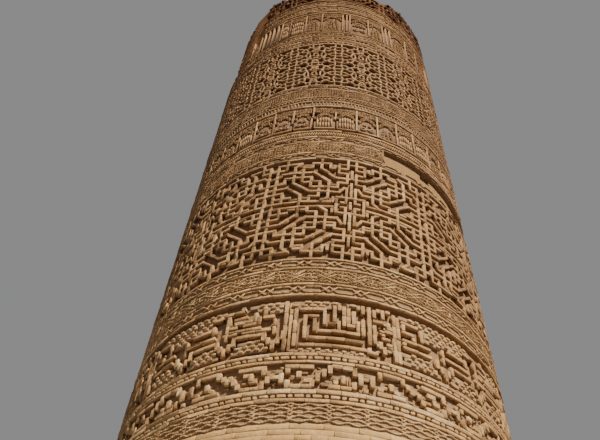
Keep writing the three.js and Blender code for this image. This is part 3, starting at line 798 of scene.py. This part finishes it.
ringBacking("fine_strips_top_ground", 12.74, 13.32, 0.012, backing, "fine_strips_top", arc=fallenArc)
fineStrips("fine_strips_top", [(12.755, 12.785), (12.835, 12.857), (12.905, 12.93), (12.985, 13.005),
                               (13.055, 13.078), (13.13, 13.155), (13.205, 13.225), (13.275, 13.31)],
           [(zigzags, (12.862, 12.9), 120, 0.011), (uprights, 12.935, 12.98, 150, 0.026),
            (zigzags, (13.084, 13.125), 130, 0.011), (uprights, 13.16, 13.2, 140, 0.026)],
           77, 0.48, lambda spot: not fallenOff(*spot[:2]))
print("fine strips laid")

# Scroll bands: slender uprights, broad low arches between them and curls that fill the rest
curl = [(1.0, 0), (0.9, 50), (0.85, 100), (0.8, 150), (0.75, 200), (0.65, 260), (0.5, 320), (0.25, 390)]
scroll = {"bay": 8.4, "narrow": 4, "rise": 0.13, "plate": 0.014, "curlPitch": 1.25, "curlWidth": 0.013,
          "unsteady": 0.004, "bayGap": 0.012, "rowStep": 0.03, "overDome": 0.055}


def curlAt(spots, azimuth, z, size, side, width, look, start=0):
    radius = radiusAt(z)
    line(spots, [(azimuth + side * degrees(size * r * cos(radians(turn + start)) / radius),
                  z + size * r * sin(radians(turn + start))) for r, turn in curl], width, look, 0.35)


def domeFilling(spots, rng, azimuth, base, crown, half, look):
    # Upright strokes, a pair of large curls with small ones round them, or rows of small curls
    radius = radiusAt(base)
    kind = rng.integers(0, 3)
    if kind == 0:
        for x in (-0.75, -0.45, -0.15, 0.15, 0.45, 0.75):
            a = azimuth + degrees(half * x / radius)
            bar(spots, (a, base + 0.02), (a, crown - 0.03 - 0.08 * x * x), 0.02, look, 0.3)
        return
    if kind == 1:
        for side in (-1, 1):
            a = azimuth + side * degrees(half * 0.45 / radius)
            curlAt(spots, a, base + (crown - base) * 0.32, half * 0.36, side, 0.017, look, 180)
    low = base + (crown - base) * 0.62 if kind == 1 else base + 0.045
    rows = max(1, round((crown - 0.04 - low) / 0.05))
    for row in range(rows):
        reach = half * (1 - 0.35 * (row + 1) / rows)
        count = max(2, round(reach / 0.028))
        for n in range(count):
            a = azimuth + degrees(reach * ((2 * n + 1) / count - 1) / radius)
            z = low + 0.05 * row + rng.normal(0, scroll["unsteady"])
            curlAt(spots, a, z, 0.021, (-1) ** n, scroll["curlWidth"], look, rng.uniform(0, 360))


def scrollBand(name, low, uprightPlaces, seed, layout, keep=lambda spot: True):
    rng = np.random.default_rng(seed)
    spots, bricks, plates = [], [], []
    crown, base, deep, curls = (layout[key] for key in ("crown", "base", "deep", "curls"))
    relief, free = raised(-0.002, 0.022, 0.2, 0.0, 0.75), raised(-0.005, deep - 0.004, 0.2, 0.0, 0.58)
    stroke = raised(-0.002, deep, 0.8, 0.0, 0.85)
    for azimuth, start, end in uprightPlaces:
        bar(bricks, (azimuth - 0.15, start), (azimuth + 0.15, end), 0.019, stroke, 0.3)
    ends = sorted({azimuth for azimuth, start, end in uprightPlaces})
    for left, right in zip(ends, ends[1:] + [ends[0] + 360]):
        gap = right - left
        bays = max(1, round(gap / scroll["bay"]))
        wide = gap > scroll["narrow"]
        for n in range(bays):
            middle = left + gap * (n + 0.5) / bays
            half = radians(gap / bays) * radiusAt(low) / 2 - scroll["bayGap"]
            span = degrees(half / radiusAt(low))
            columns = max(2, round(half / scroll["plate"]))
            lift = rng.uniform(-0.02, 0.012)
            for m in range(columns):          # a raised plate with a round head, its brow left in shadow
                x = (2 * m + 1) / columns - 1
                dome = crown + lift - (scroll["rise"] * x * x if wide else 0) + rng.normal(0, 0.003)
                plates.append((middle + span * x, (base + dome) / 2, 2 * half / columns + 0.003, dome - base,
                               -0.02, deep - 0.018, 0, 0.45))
            if not wide:
                continue
            bar(bricks, (middle - span, base), (middle + span, base), 0.02, raised(-0.003, deep, 0.3), 0.0)
            domeFilling(spots, rng, middle, base, crown + lift, half * 0.9, relief)
            count = max(3, round(gap / bays / scroll["curlPitch"]))
            for m in range(count):            # small curls: two level rows, and one that follows the dome
                x = (2 * m + 1) / count - 1
                follow = crown + lift - scroll["rise"] * x * x + scroll["overDome"]
                for row, z in enumerate((curls - scroll["rowStep"], curls + scroll["rowStep"], follow)):
                    if row == 2 and follow > curls - 0.05:
                        continue
                    curlAt(spots, middle + span * (x + 0.2 * (-1) ** row / count),
                           z + rng.normal(0, scroll["unsteady"]), layout["curlSize"], (-1) ** m,
                           scroll["curlWidth"], free, rng.uniform(0, 360))
    spots, bricks, plates = (list(filter(keep, group)) for group in (spots, bricks, plates))
    makePiece(name + "_relief", [bandBrick, dustyShadedGround], (strap, spots, seed, strapWear),
              (brick, bricks, seed + 1, brickWear), (brick, plates, seed + 2, shaftWear, 1))


lowUprights = [(-14.3, 9.36, 9.67), (-6.3, 9.45, 9.69), (-7, 9.19, 9.42), (2.4, 9.42, 9.6),
               (10.6, 9.22, 9.69), (19, 9.19, 9.67)]
while lowUprights[-1][0] < 337:
    lowUprights.append((lowUprights[-1][0] + 8.39, 9.19, 9.68))
ringBacking("scroll_band_low_ground", 9.15, 9.7, 0.043, deepGround, "scroll_band_low")
scrollBand("scroll_band_low", 9.15, lowUprights, 81,
           {"base": 9.207, "crown": 9.5, "curls": 9.625, "curlSize": 0.027, "deep": 0.044})
highUprights = [-62, -48, -42.2, -39.4, -36.6, -33.8, -31, -28.2, -23.2, -14.6, -6.2, 4.6, 6.6, 8.3, 18.2,
                26.5, 28.8, 31.2, 42, 51, 61, 63, 65, 76, 85, 96, 98.5, 101, 103.5, 106, 117, 126, 136,
                138.2, 140.4, 152, 161, 171, 180, 182.2, 184.4, 195, 204, 214, 216.4, 218.8, 221.2, 232,
                241, 251, 260, 262, 264, 275]
ringBacking("scroll_band_high_ground", 12.05, fallen["low"], 0.044, deepGround, "scroll_band_high")
ringBacking("scroll_band_high_upper_ground", fallen["low"], 12.74, 0.044, deepGround, arc=fallenArc)
ringBacking("fallen_face_bed", fallen["low"], 13.32, fallen["depth"], rawClay, arc=fallenArc, keep=True)
scrollBand("scroll_band_high", 12.05, [(azimuth, 12.1, 12.73) for azimuth in highUprights], 83,
           {"base": 12.08, "crown": 12.56, "curls": 12.67, "curlSize": 0.026, "deep": 0.05},
           lambda spot: not fallenOff(*spot[:2])
           or abs(spot[0] % 360 - fallen["upright"]) < 0.6 and spot[1] < fallen["uprightTop"])
rng = np.random.default_rng(86)
lumps = rubble(fallen["low"] + 0.02, fallen["lumpTop"], fallen["lumps"], rng, 0.001 - fallen["depth"],
               fallen["lump"])
lumps = [spot for spot in lumps if fallen["start"] + 1 < spot[0] < fallen["end"] - 1 and fallenOff(*spot[:2])]
makePiece("fallen_face_rubble", [rawClay], (brick, lumps, rng, tornWear))
print("scroll bands laid")

# Lattice: rings and hexagons of rounded strapwork, one quarter cell mirrored
lattice = {"low": 10.31, "high": 11.58, "repeats": 17, "axis": 2.8, "half": 360 / 34, "tier": 0.295,
           "middle": 10.95, "width": 0.025, "foot": 10.36, "head": 11.54, "uprightAt": (1.45, 1.49)}
latticeQuarter = [
    [(1.45, 0.295), (1.55, 0.225), (1.85, 0.185), (2.25, 0.15), (1.85, 0.115), (1.45, 0.08), (1.4, 0)],
    [(0, 0.045), (1.4, 0.045)],
    [(0, 0.24), (1.5, 0.24)],
    [(1.45, 0.045), (3, 0.042), (4.1, 0.022), (4.6, 0), (5.6, 0), (6.4, 0.045), (6.85, 0.09), (6.9, 0.13),
     (6.4, 0.185), (5.5, 0.21), (4.5, 0.215), (3.4, 0.25), (1.6, 0.255)],
    [(2.25, 0.15), (3.5, 0.15), (4.4, 0.185), (5.3, 0.21), (6.4, 0.228), (7.4, 0.258), (8.3, 0.258),
     (9.1, 0.245)],
    [(3.5, 0.15), (4.4, 0.118), (5.6, 0.112), (6.9, 0.115), (8.2, 0.115), (9.3, 0.145), (10.59, 0.155)],
    [(9.1, 0.295), (9.1, 0.235), (9.5, 0.185), (10.59, 0.155)],
    [(9.1, 0.25), (10.59, 0.25)], [(9.3, 0.205), (10.59, 0.205)], [(9.55, 0.1), (10.59, 0.095)],
    [(0, 0.14), (1.9, 0.14)],
    [(10.59, 0.052), (9.8, 0.038), (9.42, 0)],
    [(6.9, 0.1), (7.6, 0.07), (7.95, 0.03), (7.95, 0)],
    [(7.4, 0.258), (7.35, 0.295)],
]
ringBacking("lattice_ground", lattice["low"], lattice["high"], 0.045, deepGround, "lattice_band")
spots, bricks = [], []
relief = raised(-0.004, 0.045, 0.2, 0.0, 0.7)
for quarter, k, side, tier, flip in product(latticeQuarter, range(lattice["repeats"]), *[(-1, 1)] * 3):
    turn = lattice["axis"] + 2 * lattice["half"] * k
    line(spots, [(turn + side * u, lattice["middle"] + tier * (lattice["tier"] + flip * v))
                 for u, v in quarter], lattice["width"], relief, 0.35)
near, far = lattice["uprightAt"]
for k in range(lattice["repeats"]):                    # feet and heads of the uprights at the band's edges
    for u in (-near, near, lattice["half"] - far, lattice["half"] + far):
        for low, high in ((lattice["low"], lattice["foot"]), (lattice["head"], lattice["high"])):
            a = lattice["axis"] + 2 * lattice["half"] * k + u
            bar(bricks, (a, low + 0.005), (a, high), lattice["width"], relief, 0.0)
makePiece("lattice_straps", [bandBrick], (strap, spots, 91, strapWear), (brick, bricks, 92, brickWear))
print("lattice laid")

# Broken fret at the rim: the same fret in wider columns, cut off by the ragged top
brokenFret = {"low": 13.32, "high": 13.95, "recess": 0.038, "axis": 2.0, "column": 20 / 7, "firstRow": 13.36,
              "full": 13.99, "ragged": 13.9, "lowest": 13.35, "rimGap": 0.012}
ring = ringBacking("broken_fret_ground", brokenFret["low"], brokenFret["high"], brokenFret["recess"],
                   dustyShadedGround, "broken_fret")
rng = np.random.default_rng(95)
for vertex in ring.data.vertices:
    if vertex.co.z > brokenFret["ragged"]:
        edge = standingHeight(azimuthOf(vertex.co), rimBreaks, brokenFret["full"])
        vertex.co.z = edge - rng.uniform(0.005, 0.05)
ring.data.materials.append(rawClay)
for face in ring.data.polygons:           # torn face, left bare up to the rim
    if fallen["start"] < azimuthOf(face.center) % 360 < fallen["end"]:
        face.material_index = 1
spots = []
brokenLook = raised(-0.002, 0.046, 0.19, tone=0.36)
for start, end, side in fretBars:
    for k in range(greatFret["repeats"]):
        places = [(brokenFret["axis"] + brokenFret["column"] * (side * u + 18 * k),
                   brokenFret["firstRow"] + greatFret["row"] * (j - 12)) for u, j in (start, end)]
        bar(spots, *places, greatFret["width"], brokenLook, 0.45)
spots = [spot for spot in spots if not fallenOff(*spot[:2]) and brokenFret["lowest"] < spot[1]
         < standingHeight(spot[0], rimBreaks, tower["top"]) - brokenFret["rimGap"]]
makePiece("broken_fret_bricks", [bandBrick], (brick, spots, 96, brickWear))

# Broken top of the wall core: its last courses lie open, with bricks gone
coreTop = {"inside": 1.15, "full": 13.88, "row": 0.093, "length": 0.2, "course": 0.05, "gone": 0.2, "rows": 4}
rng = np.random.default_rng(98)
spots = []
for row in range(coreTop["rows"]):
    radius = coreTop["inside"] + coreTop["row"] * (row + 1)
    count = round(2 * pi * radius / coreTop["length"])
    for k in range(count):
        azimuth = 360 * (k + 0.5 * (row % 2)) / count
        z = standingHeight(azimuth, coreBreaks, coreTop["full"]) + coreTop["course"] / 2
        for layer in range(rng.integers(1, 3)):
            if rng.random() > coreTop["gone"]:
                spots.append((azimuth, z + coreTop["course"] * layer,
                              coreTop["length"] * rng.uniform(0.7, 0.97), coreTop["course"] - 0.004,
                              radius - radiusAt(z), coreTop["row"] - 0.005, 0, rng.uniform(0.25, 0.6)))
makePiece("core_top_bricks", [bandBrick], (brick, spots, rng, rubbleWear))

# Plain shaft in courses of long and short bricks
plainShaft = {"courses": 99, "footTop": 2.5, "courseHeight": 0.05, "joint": 0.003, "long": 0.25,
              "short": 0.12, "longShare": 0.75, "proud": 0.006}
doorway = {"halfWidth": 0.4, "sill": 0.2, "spring": 1.6, "rise": 0.48}


def doorHalfAngle(z):
    if z < doorway["sill"] or z > doorway["spring"] + doorway["rise"]:
        return 0.0
    half = doorway["halfWidth"]
    if z > doorway["spring"]:
        t = (z - doorway["spring"]) / doorway["rise"]
        half = half * (1 - t) * (1 + 0.8 * t)
    return degrees(asin(half / radiusAt(z)))


rng = np.random.default_rng(101)
walls = {"foot": [], "shaft": []}
shaftLook = raised(-tower["plainSetback"] + plainShaft["proud"], 0.03, tone=0.5)
for c in range(plainShaft["courses"]):
    z = plainShaft["courseHeight"] * (c + 0.5)
    radius, door = radiusAt(z), doorHalfAngle(z)
    azimuth = -180 + door + (0 if door else 5 * (c % 2))
    last = azimuth + 360 - 2 * door
    while azimuth < last - 0.5:
        kind = "long" if rng.random() < plainShaft["longShare"] else "short"
        span = min(degrees(plainShaft[kind] * rng.uniform(0.93, 1.05) / radius), last - azimuth)
        walls["foot" if z < plainShaft["footTop"] else "shaft"].append(
            spotAt(azimuth + span / 2, z, radians(span) * radius - plainShaft["joint"],
                   plainShaft["courseHeight"] - plainShaft["joint"], shaftLook))
        azimuth += span
for name, spots in walls.items():
    makePiece(name + "_brickwork", [shaftBrick], (brick, spots, rng, shaftWear))
print("plain shaft laid")

# Solids that stay as they are and take their finish here
finishes = {"core": coreBrick, "foot": footBrick, "door": footBrick, "plain": footBrick}
for name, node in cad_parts.items():
    node.data.materials.clear()
    node.data.materials.append(finishes.get(name.split("_")[0], backing))

# Floor, lights and camera
deselectAll()
bpy.ops.mesh.primitive_circle_add(vertices=96, radius=5, fill_type="NGON", location=(0, 0, 0))
floor = bpy.context.object
floor.name = "floor"
floorPaint = bpy.data.materials.new("pale_studio_floor")       # even, pale and matt
floorPaint.use_nodes = True
paint = floorPaint.node_tree.nodes["Principled BSDF"].inputs
paint["Base Color"].default_value = linear("c9c5bd")
paint["Roughness"].default_value = 0.9
floor.data.materials.append(floorPaint)

suns = {"key_light": {"azimuth": 32, "height": 46, "power": 7.75, "softness": 2, "colour": "fffaf0"},
        "back_fill": {"azimuth": 180, "height": 35, "power": 1.6, "softness": 20, "colour": "eef2ff"}}
for name, look in suns.items():
    light = bpy.data.lights.new(name, "SUN")
    light.energy = look["power"]
    light.angle = radians(look["softness"])
    light.color = linear(look["colour"])[:3]
    lamp = bpy.data.objects.new(name, light)
    bpy.context.scene.collection.objects.link(lamp)
    lamp.rotation_euler = (radians(90 - look["height"]), 0, radians(look["azimuth"]))
sky = {"colour": "e4e4e6", "strength": 0.34}
world = bpy.data.worlds.new("studio")
world.use_nodes = True
tree = world.node_tree
tree.nodes.clear()
paper = addNode(tree, "ShaderNodeBackground", {"Color": linear(sky["colour"]), "Strength": sky["strength"]})
addNode(tree, "ShaderNodeOutputWorld", {"Surface": paper.outputs[0]})
bpy.context.scene.world = world

view = {"place": (0, -6.3923, 1.6), "lens": 45.395, "pitch": 51.631, "yaw": -3.061, "roll": 4.938}
pitch, yaw, roll = (radians(view[key]) for key in ("pitch", "yaw", "roll"))
forward = np.array([sin(yaw) * cos(pitch), cos(yaw) * cos(pitch), sin(pitch)])
level = np.array([cos(yaw), -sin(yaw), 0.0])
upward = np.cross(level, forward)
right = level * cos(roll) + upward * sin(roll)
up = -level * sin(roll) + upward * cos(roll)
lens = bpy.data.cameras.new("camera")
lens.lens = view["lens"]
lens.sensor_width = 36
lens.clip_end = 200
camera = bpy.data.objects.new("camera", lens)
bpy.context.scene.collection.objects.link(camera)
camera.matrix_world = Matrix([*zip(right, up, -forward, view["place"]), (0, 0, 0, 1)])
bpy.context.scene.camera = camera
print("stage ready")
